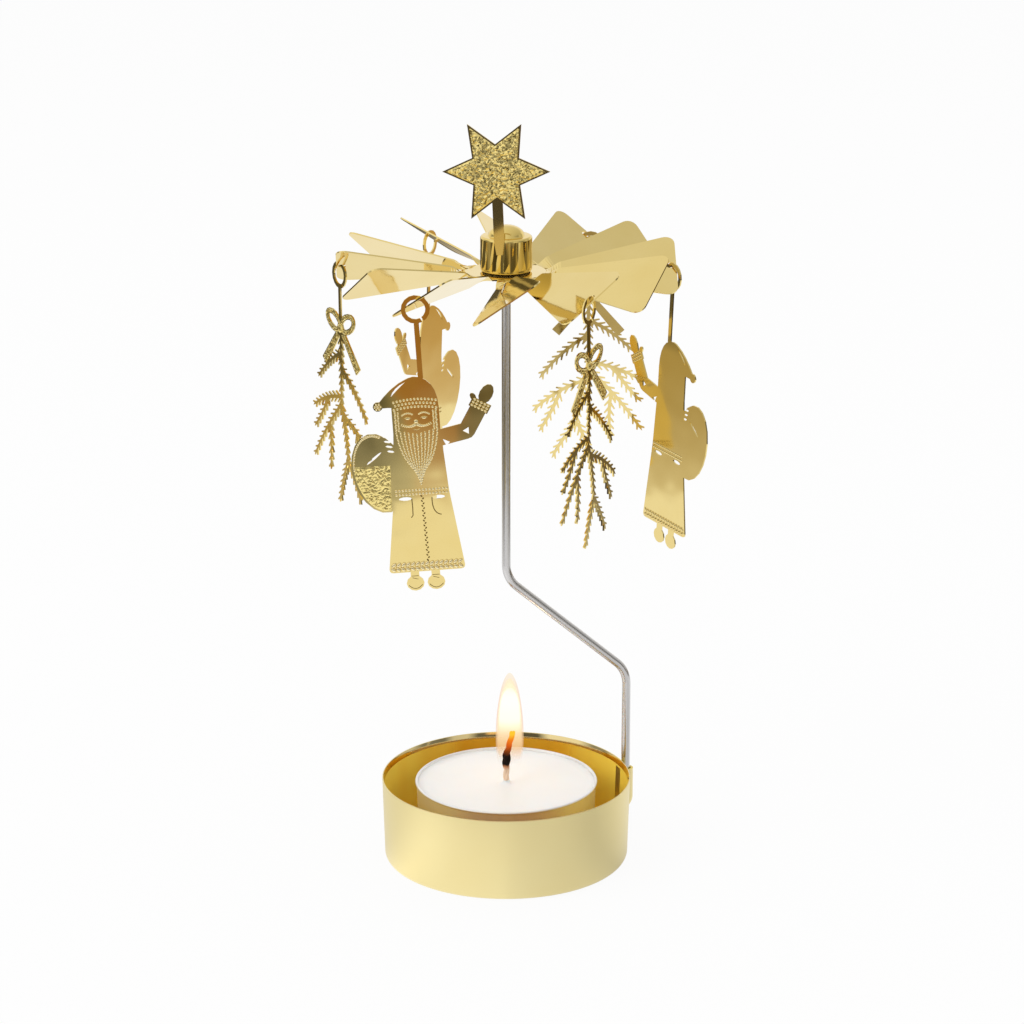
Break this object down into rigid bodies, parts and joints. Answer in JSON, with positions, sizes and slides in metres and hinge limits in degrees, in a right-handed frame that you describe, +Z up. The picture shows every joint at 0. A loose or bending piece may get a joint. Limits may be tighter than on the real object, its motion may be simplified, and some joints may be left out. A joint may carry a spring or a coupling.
{
  "type": "rotating candle holder",
  "caption": "Gold-coloured tealight cup with a bent wire stand; rising hot air turns a bladed rotor on the wire's needle point, with a star above and figures and branches hanging below.",
  "frame": {"origin": "centre of the cup's flat underside, on the axis of the cup and of the rotor", "axes": "+Z up along the rotor's axis, -Y towards the front with the first figure, +X to the right; the wire's foot is at 21 degrees from +X towards +Y"},
  "size_m": [0.0799, 0.0803, 0.1563],
  "materials": {
    "satin_gold": "satin lacquered outside, brighter inside",
    "polished_gold": "polished sheet with etched relief",
    "wire_steel": "drawn bright wire",
    "small_steel": "tinned",
    "foil": "bright rolled foil",
    "wax": "paraffin wax, faintly translucent",
    "wick": "burnt cotton braid",
    "white_plastic": "moulded nylon"
  },
  "bodies": {
    "stand": {"base_cup": "satin_gold", "wire_stand": "wire_steel"},
    "tealight": {"tealight_cup": "foil", "tealight_wax": "wax", "wick": "wick", "wick_tab": "small_steel"},
    "head": {"rotor": "polished_gold", "hub_cap": "polished_gold", "bearing_bush": "white_plastic", "pivot_cup": "small_steel", "star": "polished_gold"},
    "santa_1_ornament": {"santa_1": "polished_gold"},
    "branch_1_ornament": {"branch_1": "polished_gold"},
    "santa_2_ornament": {"santa_2": "polished_gold"},
    "branch_2_ornament": {"branch_2": "polished_gold"},
    "santa_3_ornament": {"santa_3": "polished_gold"},
    "branch_3_ornament": {"branch_3": "polished_gold"}
  },
  "joints": [
    {"name": "tealight_lift", "type": "slide", "parent": "stand", "child": "tealight", "axis": [0, 0, 1], "range_m": [0, 0.0175]},
    {"name": "rotor_spin", "type": "hinge", "parent": "stand", "child": "head", "pos_m": [0, 0, 0.1308], "axis": [0, 0, 1], "continuous": true},
    {"name": "santa_1_swing", "type": "hinge", "parent": "head", "child": "santa_1_ornament", "pos_m": [-0.01748, -0.02841, 0.12441], "axis": [0.0349, -0.9994, 0], "range_deg": [-25, 25]},
    {"name": "branch_1_swing", "type": "hinge", "parent": "head", "child": "branch_1_ornament", "pos_m": [-0.03334, 0.00094, 0.12441], "axis": [-0.848, -0.5299, 0], "range_deg": [-25, 25]},
    {"name": "santa_2_swing", "type": "hinge", "parent": "head", "child": "santa_2_ornament", "pos_m": [-0.01586, 0.02934, 0.12441], "axis": [-0.8829, 0.4695, 0], "range_deg": [-25, 25]},
    {"name": "branch_2_swing", "type": "hinge", "parent": "head", "child": "branch_2_ornament", "pos_m": [0.01748, 0.02841, 0.12441], "axis": [-0.0349, 0.9994, 0], "range_deg": [-25, 25]},
    {"name": "santa_3_swing", "type": "hinge", "parent": "head", "child": "santa_3_ornament", "pos_m": [0.03334, -0.00094, 0.12441], "axis": [0.848, 0.5299, 0], "range_deg": [-25, 25]},
    {"name": "branch_3_swing", "type": "hinge", "parent": "head", "child": "branch_3_ornament", "pos_m": [0.01586, -0.02934, 0.12441], "axis": [0.8829, -0.4695, 0], "range_deg": [-25, 25]}
  ]
}
